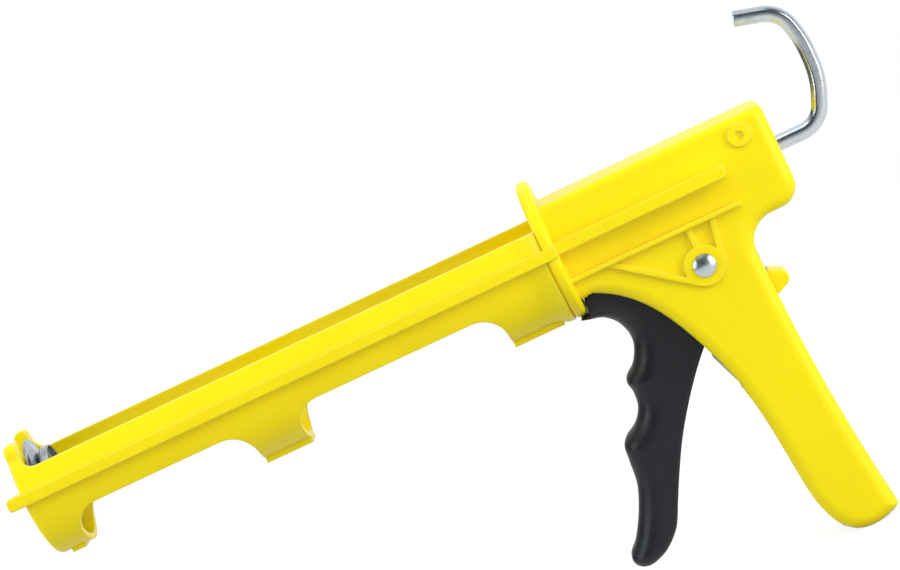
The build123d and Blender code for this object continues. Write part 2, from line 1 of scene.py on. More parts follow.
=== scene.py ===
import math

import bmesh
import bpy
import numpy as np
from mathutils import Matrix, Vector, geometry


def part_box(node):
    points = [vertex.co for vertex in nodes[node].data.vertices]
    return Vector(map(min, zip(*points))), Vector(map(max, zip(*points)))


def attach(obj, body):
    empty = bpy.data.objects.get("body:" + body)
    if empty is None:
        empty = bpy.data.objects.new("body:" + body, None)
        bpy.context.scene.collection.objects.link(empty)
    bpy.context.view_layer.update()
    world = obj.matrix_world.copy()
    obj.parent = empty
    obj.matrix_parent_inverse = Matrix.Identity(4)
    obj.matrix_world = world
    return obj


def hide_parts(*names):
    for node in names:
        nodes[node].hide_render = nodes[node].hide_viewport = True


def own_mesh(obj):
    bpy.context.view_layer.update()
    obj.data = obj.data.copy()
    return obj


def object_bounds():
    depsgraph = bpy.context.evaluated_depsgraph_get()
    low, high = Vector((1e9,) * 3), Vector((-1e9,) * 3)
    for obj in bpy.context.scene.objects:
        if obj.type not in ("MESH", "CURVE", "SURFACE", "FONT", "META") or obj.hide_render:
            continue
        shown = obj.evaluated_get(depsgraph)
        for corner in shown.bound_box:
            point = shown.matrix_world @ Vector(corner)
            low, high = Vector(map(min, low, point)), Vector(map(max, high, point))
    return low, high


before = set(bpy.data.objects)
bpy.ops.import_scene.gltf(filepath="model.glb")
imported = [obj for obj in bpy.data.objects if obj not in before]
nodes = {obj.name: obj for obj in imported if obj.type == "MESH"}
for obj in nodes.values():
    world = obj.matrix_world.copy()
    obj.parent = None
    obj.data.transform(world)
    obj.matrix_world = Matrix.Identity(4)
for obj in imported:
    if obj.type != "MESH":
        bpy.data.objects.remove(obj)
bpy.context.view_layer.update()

# %% [markdown]
# # A caulking gun, dressed
# A caulking gun holds a tube of sealant in an open cradle. Each squeeze of the trigger pushes a
# hexagonal rod, and the plunger on its end, one step forwards. The solid model already has every
# size and joint, so this lesson only adds what the solids leave out: finishes, soft roundings, closed
# spring ends, and light.
# Everything is in metres: X runs back along the rod, Z is up, and the viewer stands on the -Y side.

scene = bpy.context.scene
mm = 0.001


def middle(node):
    """Centre of a node's box."""
    low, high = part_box(node)
    return (Vector(low) + Vector(high)) / 2


def facing(place, aim):
    """Where a camera or a lamp stands, turned towards its aim."""
    look = (Vector(aim) - Vector(place)).to_track_quat("-Z", "Y").to_matrix().to_4x4()
    return Matrix.Translation(place) @ look


pivot = middle("pivot_rivet")
print("solids:", len(nodes), "trigger pivot at", [round(c / mm, 1) for c in pivot], "mm")

# %% [markdown]
# ## The camera
# Tools are often drawn straight from the side, but here the viewer stands a little above the rod and
# behind the middle, and the picture is tipped, so the gun runs up to the right. A long lens keeps the
# sides nearly parallel. The tip is a roll about the line of sight, which leaves the gun itself level.

# %% Camera
camera_place = Vector((0.28636, -1.39727, 0.16293))
camera_aim = Vector((0.18288, 0.0, 0.00422))
camera_roll = math.radians(25.562)
lens = bpy.data.cameras.new("camera")
lens.lens = 141.36
lens.sensor_width = 36.0
camera = bpy.data.objects.new("camera", lens)
scene.collection.objects.link(camera)
camera.matrix_world = facing(camera_place, camera_aim) @ Matrix.Rotation(-camera_roll, 4, "Z")
scene.camera = camera
print("camera stands", round((camera_aim - camera_place).length, 2), "m away")

# %% [markdown]
# ## Building blocks for materials
# A material is a small graph of nodes. A few helpers keep the graphs readable: one adds a node, one
# feeds a socket with a link or a plain number, one does a sum, and so on.
# Effects that several finishes share are node groups. Each is built once, with named inputs, and put
# into every material that needs it with its own values.


# %% Node helpers
def feed(tree, socket, value):
    """Links a socket to another one, or sets it."""
    if isinstance(value, bpy.types.NodeSocket):
        tree.links.new(value, socket)
    else:
        socket.default_value = value


def add(tree, kind, inputs=None, **settings):
    """A new node, with its settings and its inputs by name or number."""
    node = tree.nodes.new(kind)
    for name, value in settings.items():
        setattr(node, name, value)
    for key, value in (inputs or {}).items():
        feed(tree, node.inputs[key], value)
    return node


def calc(tree, operation, *values, clamp=False):
    """One sum on numbers."""
    inputs = dict(enumerate(values))
    return add(tree, "ShaderNodeMath", inputs, operation=operation, use_clamp=clamp).outputs[0]


def fade(tree, value, low, high, start=0.0, end=1.0):
    """Turns a value between low and high smoothly into one between start and end."""
    inputs = {"Value": value, "From Min": low, "From Max": high, "To Min": start, "To Max": end}
    node = add(tree, "ShaderNodeMapRange", inputs, interpolation_type="SMOOTHSTEP")
    return node.outputs["Result"]


def blend_colours(tree, share, first, second):
    """Mixes two colours by a share from 0 to 1."""
    node = add(tree, "ShaderNodeMix", data_type="RGBA")
    for index, value in ((0, share), (6, first), (7, second)):
        feed(tree, node.inputs[index], value)
    return node.outputs[2]


def weigh(tree, base, *parts):
    """A base number plus some values, each times its weight."""
    for value, weight in parts:
        base = calc(tree, "MULTIPLY_ADD", value, weight, base)
    return base


def paint(tree, shader, **inputs):
    """Feeds the shader's inputs; an underscore in a name stands for a space."""
    for name, value in inputs.items():
        feed(tree, shader.inputs[name.replace("_", " ")], value)


def relief(tree, height, strength, depth, **normal):
    """A normal that shows a height as fine relief, at most as deep as depth in metres."""
    inputs = {"Height": height, "Strength": strength, "Distance": depth, **normal}
    return add(tree, "ShaderNodeBump", inputs).outputs[0]


def noise(tree, place, scale, detail=2.0, rough=0.5):
    """Fractal noise between 0 and 1."""
    inputs = {"Vector": place, "Scale": scale, "Detail": detail, "Roughness": rough}
    return add(tree, "ShaderNodeTexNoise", inputs).outputs[0]


def new_group(name, inputs, outputs):
    """An empty shader group with named sockets; gives the tree, its input and its output node."""
    tree = bpy.data.node_groups.new(name, "ShaderNodeTree")
    new_socket = tree.interface.new_socket
    for label, kind, value in inputs:
        socket = new_socket(name=label, in_out="INPUT", socket_type="NodeSocket" + kind)
        if value is not None:
            socket.default_value = value
    for label, kind in outputs:
        new_socket(name=label, in_out="OUTPUT", socket_type="NodeSocket" + kind)
    return tree, add(tree, "NodeGroupInput"), add(tree, "NodeGroupOutput")


def place_group(tree, group, **inputs):
    """Puts a shader group into a material; an underscore in an input's name stands for a space."""
    values = {name.replace("_", " "): value for name, value in inputs.items()}
    return add(tree, "ShaderNodeGroup", values, node_tree=group).outputs


# %% [markdown]
# ### Edge wear
# Hands and benches rub the outer edges of any tool first. The Bevel node looks at the surface as if
# its edges were rounded. Where that rounded normal differs from the true one, there is an edge, and
# a patchy noise decides how much of it is worn. The group puts out the worn patches, the whole edge,
# and the rounded normal, with which a finish can show a sharp edge of the solid as a soft one.

# %% Edge wear group
edge_wear, given, result = new_group(
    "Edge wear", [("Reach", "Float", 0.0008), ("Patch size", "Float", 0.01)],
    [("Mask", "Float"), ("Whole edge", "Float"), ("Rounded normal", "Vector")])
rounded = add(edge_wear, "ShaderNodeBevel", {"Radius": given.outputs["Reach"]}, samples=6)
true_normal = add(edge_wear, "ShaderNodeNewGeometry").outputs["Normal"]
same = add(edge_wear, "ShaderNodeVectorMath", {0: rounded.outputs[0], 1: true_normal},
           operation="DOT_PRODUCT").outputs["Value"]
spot = add(edge_wear, "ShaderNodeTexCoord").outputs["Object"]
patches = noise(edge_wear, spot, calc(edge_wear, "DIVIDE", 1.0, given.outputs["Patch size"]), 3.0)
match_on_face, match_on_edge = 0.995, 0.9
edge = fade(edge_wear, same, match_on_face, match_on_edge)
feed(edge_wear, result.inputs["Whole edge"], edge)
feed(edge_wear, result.inputs["Rounded normal"], rounded.outputs[0])
feed(edge_wear, result.inputs["Mask"],
     calc(edge_wear, "MULTIPLY", edge, fade(edge_wear, patches, 0.35, 0.65), clamp=True))
print("edge wear:", len(edge_wear.nodes), "nodes")

# %% [markdown]
# ### Painted shade in inner corners
# Light that falls into an inner corner of coloured plastic bounces from wall to wall and comes back
# deeper in colour, and less of it gets out again. Here that shade is painted into the colour: the
# Ambient Occlusion node measures how open a spot is, from 0 to 1, and the group turns that into a
# mask of the inner corners, where a finish paints its shade.

# %% Inner corners group
painted_corner_shade, given, result = new_group(
    "Inner corners", [("Reach", "Float", 0.004)], [("Mask", "Float")])
openness = add(painted_corner_shade, "ShaderNodeAmbientOcclusion", {"Distance": given.outputs["Reach"]},
               samples=8).outputs["AO"]
still_open, closed_in = 0.92, 0.40
feed(painted_corner_shade, result.inputs["Mask"], fade(painted_corner_shade, openness, still_open, closed_in))
print("inner corners:", len(painted_corner_shade.nodes), "nodes")

# %% [markdown]
# ### Moulded skin
# Plastic takes the skin of its steel mould: a very fine spark-eroded grain, and broad faint clouds
# where the melt flowed and cooled unevenly. The group puts out both, one as a height and one as a
# mask.

# %% Moulded skin group
moulded_skin, given, result = new_group(
    "Moulded skin", [("Grain size", "Float", 0.0004), ("Cloud size", "Float", 0.03)],
    [("Height", "Float"), ("Clouds", "Float")])
spot = add(moulded_skin, "ShaderNodeTexCoord").outputs["Object"]
grain_scale = calc(moulded_skin, "DIVIDE", 1.0, given.outputs["Grain size"])
feed(moulded_skin, result.inputs["Height"], noise(moulded_skin, spot, grain_scale, 3.0, 0.6))
cloud_scale = calc(moulded_skin, "DIVIDE", 1.0, given.outputs["Cloud size"])
feed(moulded_skin, result.inputs["Clouds"],
     fade(moulded_skin, noise(moulded_skin, spot, cloud_scale, 3.0), 0.3, 0.7))
print("moulded skin:", len(moulded_skin.nodes), "nodes")

# %% [markdown]
# ### Fine scratches
# A drawn bar carries long fine lines from its die, and a stamped or handled part has short ones.
# Noise that is stretched along one direction gives such lines. The caller passes a place that is
# already squeezed along the lines, so one group serves every metal part.

# %% Fine scratches group
fine_scratches, given, result = new_group(
    "Fine scratches",
    [("Place", "Vector", None), ("Density", "Float", 4000.0), ("Amount", "Float", 0.5)],
    [("Height", "Float"), ("Mask", "Float")])
lines = noise(fine_scratches, given.outputs["Place"], given.outputs["Density"], 4.0, 0.7)
coarse = calc(fine_scratches, "MULTIPLY", given.outputs["Density"], 0.23)
deep = fade(fine_scratches, noise(fine_scratches, given.outputs["Place"], coarse, 2.0), 0.62, 0.7)
feed(fine_scratches, result.inputs["Height"], calc(fine_scratches, "SUBTRACT", lines, deep))
both = calc(fine_scratches, "ADD", lines, deep)
feed(fine_scratches, result.inputs["Mask"],
     calc(fine_scratches, "MULTIPLY", both, given.outputs["Amount"], clamp=True))
print("fine scratches:", len(fine_scratches.nodes), "nodes")

# %% [markdown]
# ### Handling marks
# Oily fingers and shop dust leave soft blotches that are seen in the gloss more than in the colour.
# Two sizes of noise multiplied make blotches with clean gaps between them.

# %% Handling marks group
handling, given, result = new_group(
    "Handling marks", [("Size", "Float", 0.02)], [("Mask", "Float")])
spot = add(handling, "ShaderNodeTexCoord").outputs["Object"]
scale = calc(handling, "DIVIDE", 1.0, given.outputs["Size"])
broad = fade(handling, noise(handling, spot, scale, 2.0), 0.42, 0.68)
fine_scale = calc(handling, "MULTIPLY", scale, 5.0)
small = fade(handling, noise(handling, spot, fine_scale, 4.0), 0.3, 0.75)
feed(handling, result.inputs["Mask"], calc(handling, "MULTIPLY", broad, small))
print("handling marks:", len(handling.nodes), "nodes")

# %% [markdown]
# ## Yellow composite
# The frame and the thumb pad are glass-filled nylon, moulded in one strong warm yellow. The colour is
# in the plastic, so it hardly changes over the surface: a faint cloudiness and a satin gloss that
# varies where hands have been. Shade is painted into the inner corners as a deeper yellow. The outer
# edges are painted paler, partly as wear and partly as a painted highlight. A little light enters
# the plastic and softens its shadows. The relief starts from the rounded normal, so every edge of
# the frame catches the light as a small radius would.


# %% Yellow composite
def new_material(name):
    """A material with its tree and its shader."""
    material = bpy.data.materials.new(name)
    material.use_nodes = True
    tree = material.node_tree
    return material, tree, tree.nodes["Principled BSDF"]


yellow, tree, shader = new_material("yellow_composite")
body_yellow, flow_yellow = (0.955, 0.765, 0.0005, 1), (0.985, 0.80, 0.0008, 1)
# Painted light: the first colour paints shade into inner corners. The second paints a paler edge that
# is partly wear and partly a painted highlight.
corner_shade_yellow, edge_wear_and_highlight_yellow = (0.92, 0.66, 0.0005, 1), (1.0, 0.86, 0.18, 1)
skin = place_group(tree, moulded_skin, Grain_size=0.00035, Cloud_size=0.035)
edges = place_group(tree, edge_wear, Reach=0.0011, Patch_size=0.012)
marks = place_group(tree, handling, Size=0.03)["Mask"]
# Mask of the inner corners, where shade is painted into the colour.
corners = place_group(tree, painted_corner_shade, Reach=0.003)["Mask"]
# Worn patches plus the whole outer edge, without the inner corners: here wear and a painted highlight
# make the colour paler.
worn_and_highlit_edges = calc(tree, "SUBTRACT", calc(tree, "ADD", edges["Mask"], edges["Whole edge"]), corners,
             clamp=True)
colour = blend_colours(tree, skin["Clouds"], body_yellow, flow_yellow)
# Painted shade: inner corners are blended towards a deeper yellow.
colour = blend_colours(tree, calc(tree, "MULTIPLY", corners, 0.25), colour, corner_shade_yellow)
# Painted highlight and wear: outer edges are blended towards a paler yellow.
colour = blend_colours(tree, calc(tree, "MULTIPLY", worn_and_highlit_edges, 0.28), colour, edge_wear_and_highlight_yellow)
normal = relief(tree, skin["Height"], 0.10, 0.00012, Normal=edges["Rounded normal"])
paint(tree, shader, Base_Color=colour, Normal=normal,
      Roughness=weigh(tree, 0.34, (skin["Clouds"], 0.05), (marks, 0.08)),
      Specular_IOR_Level=0.25, Subsurface_Weight=0.30, Subsurface_Radius=(1.0, 0.8, 0.1),
      Subsurface_Scale=0.002)
print("yellow composite:", len(tree.nodes), "nodes")

# %% [markdown]
# ## Black composite
# The trigger is moulded in black, with a deeper spark texture that gives grip and a satin sheen.
# Black shows its shape only by its gloss, so clouds and finger marks change the roughness, and the
# worn edges are a little paler.

# %% Black composite
black, tree, shader = new_material("black_composite")
body_black, flow_black = (0.0075, 0.008, 0.0115, 1), (0.011, 0.012, 0.016, 1)
worn_black = (0.05, 0.05, 0.055, 1)
skin = place_group(tree, moulded_skin, Grain_size=0.0003, Cloud_size=0.02)
worn = place_group(tree, edge_wear, Reach=0.0006, Patch_size=0.008)["Mask"]
marks = place_group(tree, handling, Size=0.015)["Mask"]
colour = blend_colours(tree, skin["Clouds"], body_black, flow_black)
colour = blend_colours(tree, calc(tree, "MULTIPLY", worn, 0.3), colour, worn_black)
paint(tree, shader, Base_Color=colour, Normal=relief(tree, skin["Height"], 0.22, 0.00012),
      Roughness=weigh(tree, 0.39, (skin["Clouds"], 0.06), (marks, 0.08)), Specular_IOR_Level=0.40)
print("black composite:", len(tree.nodes), "nodes")

# %% [markdown]
# ## Zinc-plated steel
# Rod, drive plates and release lever are zinc plated: a bluish bright metal, a little uneven, with
# the die's long lines under the plating. On the rod the lines must follow the bar round its hook,
# so the rod brings two measures of its own, how far along and how far around a point lies. The other
# zinc parts use their plain place.

# %% Zinc-plated steel
clean_zinc, touched_zinc = (0.72, 0.765, 0.80, 1), (0.56, 0.60, 0.63, 1)
scratched_zinc, rubbed_zinc = (0.46, 0.50, 0.53, 1), (0.86, 0.89, 0.91, 1)


def zinc_steel(name, follows_bar):
    """Zinc plating, with its lines along the bar or across the flat parts, along Y."""
    material, tree, shader = new_material(name)
    if follows_bar:
        along = add(tree, "ShaderNodeAttribute", attribute_name="along").outputs["Fac"]
        around = add(tree, "ShaderNodeAttribute", attribute_name="around").outputs["Fac"]
        slow = calc(tree, "MULTIPLY", along, 0.02)
        place = add(tree, "ShaderNodeCombineXYZ", {0: slow, 1: around}).outputs[0]
    else:
        spot = add(tree, "ShaderNodeTexCoord").outputs["Object"]
        squeeze = {"Vector": spot, "Scale": (1.0, 0.03, 1.0)}
        place = add(tree, "ShaderNodeMapping", squeeze).outputs[0]
    lines = place_group(tree, fine_scratches, Place=place, Density=2600.0, Amount=0.6)
    marks = place_group(tree, handling, Size=0.012)["Mask"]
    worn = place_group(tree, edge_wear, Reach=0.0005, Patch_size=0.006)["Mask"]
    colour = blend_colours(tree, marks, clean_zinc, touched_zinc)
    colour = blend_colours(tree, calc(tree, "MULTIPLY", lines["Mask"], 0.5), colour, scratched_zinc)
    colour = blend_colours(tree, calc(tree, "MULTIPLY", worn, 0.6), colour, rubbed_zinc)
    paint(tree, shader, Base_Color=colour, Normal=relief(tree, lines["Height"], 0.10, 0.00004),
          Roughness=weigh(tree, 0.17, (lines["Mask"], 0.12), (marks, 0.12)), Metallic=1.0)
    print(name + ":", len(tree.nodes), "nodes")
    return material


zinc_bar = zinc_steel("zinc_bar", follows_bar=True)
zinc_plate = zinc_steel("zinc_plate", follows_bar=False)

# %% [markdown]
# ## Bright steel
# Rivet, plunger and pins are nickel bright, the pressed plunger in a darker tone. They are turned or
# spun, so their fine lines are circles about an axis. The distance from the axis is the only measure
# that the pattern needs: the place is moved to the axis, flattened along it, and its length is taken.


# %% Bright steel
def bright_steel(name, axis_point, flatten, bright, dull, polish):
    """Nickel-bright metal with turning lines about an axis through a point.

    Flatten is 0 along the axis and 1 across it. Bright and dull are the two tones that the lines
    and the finger marks mix, and polish is the roughness of the clean metal.
    """
    material, tree, shader = new_material(name)
    spot = place = add(tree, "ShaderNodeTexCoord").outputs["Object"]
    for operation, value in (("SUBTRACT", axis_point), ("MULTIPLY", flatten)):
        moved = add(tree, "ShaderNodeVectorMath", {0: place, 1: value}, operation=operation)
        place = moved.outputs[0]
    radius = add(tree, "ShaderNodeVectorMath", {0: place}, operation="LENGTH").outputs["Value"]
    place = add(tree, "ShaderNodeCombineXYZ", {0: radius}).outputs[0]
    rings = place_group(tree, fine_scratches, Place=place, Density=3500.0, Amount=0.5)
    scuffs = place_group(tree, fine_scratches, Place=spot, Density=900.0, Amount=0.35)
    marks = place_group(tree, handling, Size=0.008)["Mask"]
    colour = blend_colours(tree, rings["Mask"], bright, dull)
    colour = blend_colours(tree, calc(tree, "MULTIPLY", marks, 0.6), colour, dull)
    paint(tree, shader, Base_Color=colour, Normal=relief(tree, rings["Height"], 0.08, 0.00004),
          Roughness=weigh(tree, polish, (scuffs["Mask"], 0.14), (marks, 0.10)), Metallic=1.0)
    print(name + ":", len(tree.nodes), "nodes")
    return material


along_x, along_y = (0.0, 1.0, 1.0), (1.0, 0.0, 1.0)
nickel = {"bright": (0.66, 0.72, 0.76, 1), "dull": (0.48, 0.53, 0.57, 1)}
pressed = {"bright": (0.46, 0.49, 0.51, 1), "dull": (0.20, 0.22, 0.23, 1)}
bright_rod_axis = bright_steel("bright_steel_plunger", (0.0, 0.0, 0.0), along_x,
                               polish=0.14, **pressed)
bright_pivot = bright_steel("bright_steel_rivet", pivot, along_y, polish=0.30, **nickel)
bright_fulcrum = bright_steel("bright_steel_fulcrum", middle("fulcrum_pin"), along_y,
                              polish=0.18, **nickel)
bright_thrust = bright_steel("bright_steel_thrust_pin", middle("thrust_pin"), along_y,
                             polish=0.18, **nickel)

# %% [markdown]
# ## Spring wire
# Spring wire is drawn hard and left oiled: darker and warmer than zinc, with a soft sheen.

# %% Spring wire
wire_steel, tree, shader = new_material("spring_steel")
spot = add(tree, "ShaderNodeTexCoord").outputs["Object"]
marks = place_group(tree, handling, Size=0.004)["Mask"]
lines = place_group(tree, fine_scratches, Place=spot, Density=5000.0, Amount=0.5)
clean_wire, oiled_wire = (0.46, 0.46, 0.48, 1), (0.30, 0.29, 0.29, 1)
paint(tree, shader, Base_Color=blend_colours(tree, marks, clean_wire, oiled_wire),
      Roughness=weigh(tree, 0.24, (lines["Mask"], 0.15)),
      Normal=relief(tree, lines["Height"], 0.08, 0.00003), Metallic=1.0)
print("spring wire:", len(tree.nodes), "nodes")

# %% [markdown]
# ## Finishes on the solid parts
# The moulded frame, the thumb pad, the pins and the flat plates have their final shape in the solid
# model. They only need their finish, which goes into the object's material slot. The solids that a
# finer mesh replaces further down get theirs too, so none is ever bare.

# %% Finishes on the solid parts
finishes = {
    "frame_moulding": yellow, "thumb_pad": yellow, "trigger": black,
    "release_lever": zinc_plate, "front_drive_plate": zinc_plate, "rear_drive_plate": zinc_plate,
    "drive_spring_washer": zinc_plate, "lock_spring_washer": zinc_plate, "push_rod": zinc_plate,
    "plunger_nut": zinc_plate, "plunger_lock_washer": zinc_plate, "plunger_disc": bright_rod_axis,
    "plunger_cup": bright_rod_axis, "pivot_rivet": bright_pivot, "rivet_washer": bright_pivot,
    "thrust_pin": bright_thrust, "fulcrum_pin": bright_fulcrum, "drive_spring": wire_steel,
    "lock_spring": wire_steel, "trigger_spring": wire_steel,
}
for name, finish in finishes.items():
    nodes[name].data.materials.clear()
    nodes[name].data.materials.append(finish)
print("finished", len(finishes), "of", len(nodes), "solids")

# %% [markdown]
# ## Coil springs from a rule
# A compression spring is a helix whose turns close up at both ends, so that it sits flat. That is a
# rule with a few sizes, which is what Geometry Nodes are for: the tree bends a straight line of
# points round the axis, slows it down near both ends, and wraps a round wire about it. The same tree
# makes both springs on the rod.
# A helper runs a tree and keeps the result as a plain mesh, because a mesh is what moves with a body.


# %% Geometry Nodes helpers
def new_tree(name, inputs):
    """An empty Geometry Nodes tree with named inputs; gives the tree and its two end nodes."""
    tree = bpy.data.node_groups.new(name, "GeometryNodeTree")
    for label, kind in [("Geometry", "Geometry")] + inputs:
        tree.interface.new_socket(name=label, in_out="INPUT", socket_type="NodeSocket" + kind)
    tree.interface.new_socket(name="Geometry", in_out="OUTPUT", socket_type="NodeSocketGeometry")
    return tree, add(tree, "NodeGroupInput"), add(tree, "NodeGroupOutput")


def close_tree(tree, geometry, material, result):
    """The end of every tree: smooth faces, real geometry and a material."""
    smooth = add(tree, "GeometryNodeSetShadeSmooth", {"Geometry": geometry})
    real = add(tree, "GeometryNodeRealizeInstances", {"Geometry": smooth.outputs[0]})
    dressed = add(tree, "GeometryNodeSetMaterial",
                  {"Geometry": real.outputs[0], "Material": material})
    feed(tree, result.inputs[0], dressed.outputs[0])


def run_tree(name, tree, mesh, **values):
    """Runs a tree on a mesh, keeps the result as a plain mesh; an underscore stands for a space."""
    carrier = bpy.data.objects.new(name, mesh)
    scene.collection.objects.link(carrier)
    modifier = carrier.modifiers.new("shape", "NODES")
    modifier.node_group = tree
    sockets = {s.name: s.identifier for s in tree.interface.items_tree if s.in_out == "INPUT"}
    for label, value in values.items():
        modifier[sockets[label.replace("_", " ")]] = value
    bpy.context.view_layer.update()
    made = carrier.evaluated_get(bpy.context.evaluated_depsgraph_get())
    plain = bpy.data.meshes.new_from_object(made)
    carrier.modifiers.remove(modifier)
    carrier.data = plain
    print(name + ":", len(plain.polygons), "faces")
    return carrier


# %% Coil spring tree
spring_tree, given, result = new_tree("Coil spring", [
    ("Start", "Float"), ("Length", "Float"), ("Coil radius", "Float"), ("Wire radius", "Float"),
    ("Turns", "Float"), ("Closing", "Float"), ("Material", "Material")])
size = given.outputs
points_per_turn = 40.0
straight = add(spring_tree, "GeometryNodeCurvePrimitiveLine")
count = calc(spring_tree, "MULTIPLY", size["Turns"], points_per_turn)
points = add(spring_tree, "GeometryNodeResampleCurve",
             {"Curve": straight.outputs[0], "Count": count})
share = add(spring_tree, "GeometryNodeSplineParameter").outputs["Factor"]
lag = calc(spring_tree, "SINE", calc(spring_tree, "MULTIPLY", share, math.tau))
lag = calc(spring_tree, "MULTIPLY", lag, calc(spring_tree, "DIVIDE", size["Closing"], math.tau))
run = calc(spring_tree, "MULTIPLY", calc(spring_tree, "SUBTRACT", share, lag), size["Length"])
angle = calc(spring_tree, "MULTIPLY", calc(spring_tree, "MULTIPLY", share, size["Turns"]), math.tau)
place = add(spring_tree, "ShaderNodeCombineXYZ", {
    0: calc(spring_tree, "ADD", run, size["Start"]),
    1: calc(spring_tree, "MULTIPLY", calc(spring_tree, "COSINE", angle), size["Coil radius"]),
    2: calc(spring_tree, "MULTIPLY", calc(spring_tree, "SINE", angle), size["Coil radius"])})
helix = add(spring_tree, "GeometryNodeSetPosition",
            {"Geometry": points.outputs[0], "Position": place.outputs[0]})
section = add(spring_tree, "GeometryNodeCurvePrimitiveCircle",
              {"Resolution": 12, "Radius": size["Wire radius"]})
coil = add(spring_tree, "GeometryNodeCurveToMesh",
           {"Curve": helix.outputs[0], "Profile Curve": section.outputs[0], "Fill Caps": True})
close_tree(spring_tree, coil.outputs[0], size["Material"], result)
print("coil spring tree:", len(spring_tree.nodes), "nodes")


# %% The two springs on the rod
def rod_spring(node, turns):
    """A coil spring in the place of a solid one."""
    low, high = (corner[0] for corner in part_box(node))
    radius, end_gap = 0.6 * mm, 0.1 * mm
    piece = run_tree(node + "_wire", spring_tree, bpy.data.meshes.new(node),
                     Start=low + radius + end_gap, Length=high - low - 2 * (radius + end_gap),
                     Coil_radius=6.4 * mm, Wire_radius=radius, Turns=turns, Closing=0.62,
                     Material=wire_steel)
    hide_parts(node)
    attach(piece, "frame")
    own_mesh(piece)


rod_spring("drive_spring", 8.0)
rod_spring("lock_spring", 5.0)

# %% [markdown]
# ## Bars and wires along a path
# The push rod is a hexagonal bar bent into a hook, and the trigger's return spring is a bent wire.
# Both are one section swept along a path of straight runs and arcs. The path is given as its
# corners, each with its bending radius, as a bender would read it from a drawing. A second tree
# fillets those corners, sweeps the section, and stores how far along and around each point lies, so
# that the finish can follow the bar.


# %% Bent bar tree
bar_tree, given, result = new_tree("Bent bar", [
    ("Section radius", "Float"), ("Sides", "Int"), ("Edge radius", "Float"), ("Turn", "Float"),
    ("Material", "Material")])
size = given.outputs


def store(geometry, name, value):
    """Keeps a number on each point under a name."""
    inputs = {"Geometry": geometry, "Name": name, "Value": value}
    return add(bar_tree, "GeometryNodeStoreNamedAttribute", inputs,
               data_type="FLOAT", domain="POINT").outputs[0]


corners = add(bar_tree, "GeometryNodeMeshToCurve", {0: size["Geometry"]})
bend = add(bar_tree, "GeometryNodeInputNamedAttribute", {"Name": "bend"}, data_type="FLOAT")
path = add(bar_tree, "GeometryNodeFilletCurve", {"Curve": corners.outputs[0], "Count": 16,
           "Radius": bend.outputs[0], "Limit Radius": True}, mode="POLY")
path = add(bar_tree, "GeometryNodeSetCurveNormal", {"Curve": path.outputs[0]}, mode="MINIMUM_TWIST")
length = add(bar_tree, "GeometryNodeSplineParameter").outputs["Length"]
section = add(bar_tree, "GeometryNodeCurvePrimitiveCircle",
              {"Resolution": size["Sides"], "Radius": size["Section radius"]})
section = add(bar_tree, "GeometryNodeFilletCurve", {"Curve": section.outputs[0], "Count": 3,
              "Radius": size["Edge radius"], "Limit Radius": True}, mode="POLY")
spin = add(bar_tree, "ShaderNodeCombineXYZ", {2: size["Turn"]})
section = add(bar_tree, "GeometryNodeTransform",
              {"Geometry": section.outputs[0], "Rotation": spin.outputs[0]})
bar = add(bar_tree, "GeometryNodeCurveToMesh", {
    "Curve": store(path.outputs[0], "along", length),
    "Profile Curve": store(section.outputs[0], "around", length), "Fill Caps": True})
close_tree(bar_tree, bar.outputs[0], size["Material"], result)
print("bent bar tree:", len(bar_tree.nodes), "nodes")


# %% Push rod with its ladder hook
def path_mesh(name, points, bends):
    """Corners joined by edges, with the bending radius of each corner, in millimetres."""
    mesh = bpy.data.meshes.new(name)
    steps = [(i, i + 1) for i in range(len(points) - 1)]
    mesh.from_pydata([tuple(c * mm for c in point) for point in points], steps, [])
    mesh.attributes.new("bend", "FLOAT", "POINT").data.foreach_set("value", [b * mm for b in bends])
    return mesh


def break_ends(piece, width):
    """Breaks the sharp edges of cut ends with a small bevel."""
    bevel = piece.modifiers.new("broken edges", "BEVEL")
    bevel.width = width
    bevel.segments = 2
    bevel.limit_method = "ANGLE"
    bevel.angle_limit = math.radians(62)


hook_path = [(5.4, 0, 0), (343.2, 0, 0), (350.3, 0, 17.75), (350.3, 0, 33.93), (346.75, 0, 47.29),
             (329.2, 0, 52.2)]
hook_bends = [0, 11.6, 40, 40, 12, 0]
corner_radius = 3.464      # 6 mm across the flats
rod = run_tree("push_rod_bar", bar_tree, path_mesh("push_rod_bar", hook_path, hook_bends),
               Section_radius=corner_radius * mm, Sides=6, Edge_radius=1.3 * mm, Turn=math.pi / 6,
               Material=zinc_bar)
break_ends(rod, 0.25 * mm)
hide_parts("push_rod")
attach(rod, "push_rod")
places = np.array([v.co for v in rod.data.vertices]) / mm
print("rod reaches from", places.min(0).round(2), "to", places.max(0).round(2), "mm")

# %% [markdown]
# ## Turned parts
# Rivet heads, washers, the plunger and its cup are round, so each is a half section turned about an
# axis, as on a lathe. The section is a list of corners, how far along the axis and how far out, each
# with a small rounding, because no pressed or turned edge is truly sharp. A light catches exactly
# that rounding, which is why it is worth modelling.


# %% Lathe helper
def mesh_piece(name, shape, finish):
    """A smooth-shaded object from a bmesh that it uses up."""
    for face in shape.faces:
        face.smooth = True
    mesh = bpy.data.meshes.new(name)
    shape.to_mesh(mesh)
    shape.free()
    mesh.materials.append(finish)
    piece = bpy.data.objects.new(name, mesh)
    scene.collection.objects.link(piece)
    print(name + ":", len(mesh.polygons), "faces")
    return piece


